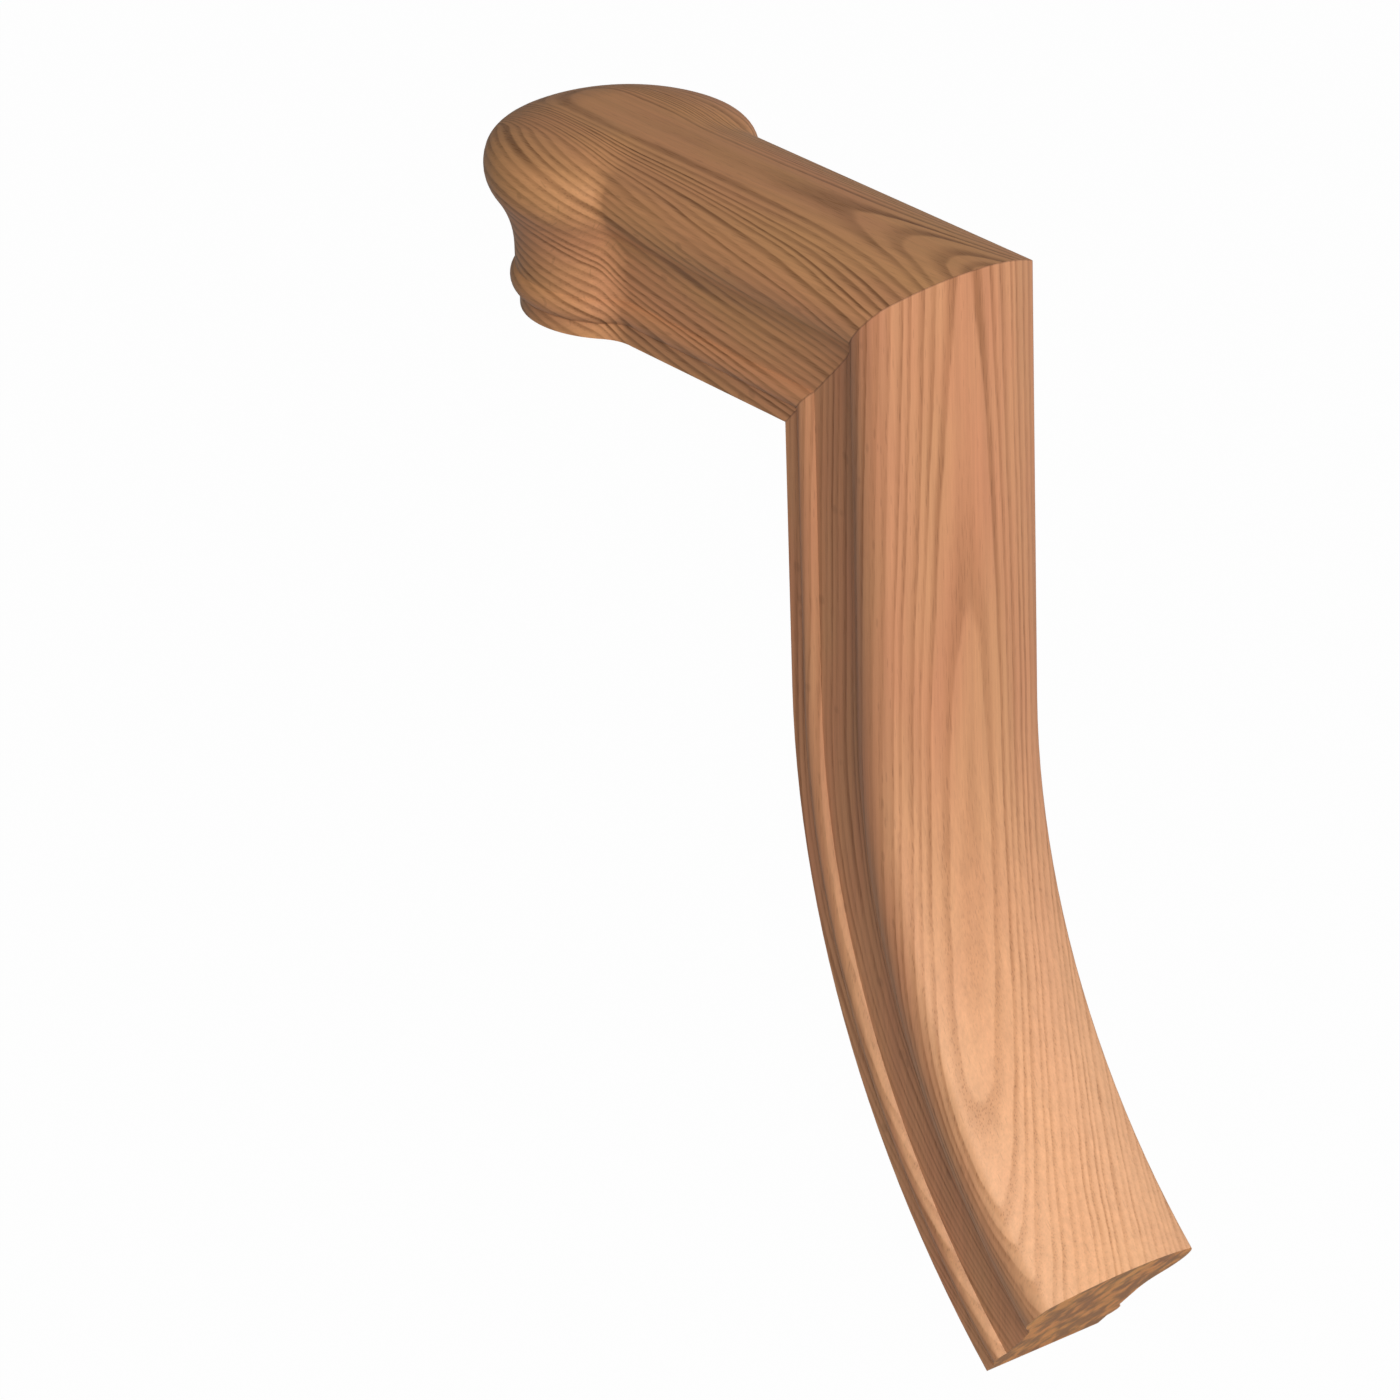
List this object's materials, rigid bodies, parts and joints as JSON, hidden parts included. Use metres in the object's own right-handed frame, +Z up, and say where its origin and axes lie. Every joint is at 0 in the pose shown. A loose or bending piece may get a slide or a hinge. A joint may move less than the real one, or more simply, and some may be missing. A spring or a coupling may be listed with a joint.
{
  "type": "handrail gooseneck fitting",
  "caption": "Over-the-post wooden handrail gooseneck: a turned newel cap on a short level arm, mitred to an upright leg that eases into the slope of the stair rail.",
  "frame": {"origin": "centre of the cap's flat underside, at the mouth of the newel pin bore", "axes": "+Z up, +X along the level arm towards the leg, +Y across the rail"},
  "size_m": [0.2743, 0.0834, 0.3412],
  "materials": {
    "cap_oak": "sanded red oak with a thin satin sealer, grain along the arm",
    "leg_oak": "sanded red oak with a thin satin sealer, grain upright",
    "dowel_wood": "plain birch dowel, unfinished"
  },
  "bodies": {
    "root": {"newel_cap_arm": "cap_oak", "leg_easing": "leg_oak", "mitre_dowels": "dowel_wood"}
  },
  "joints": []
}
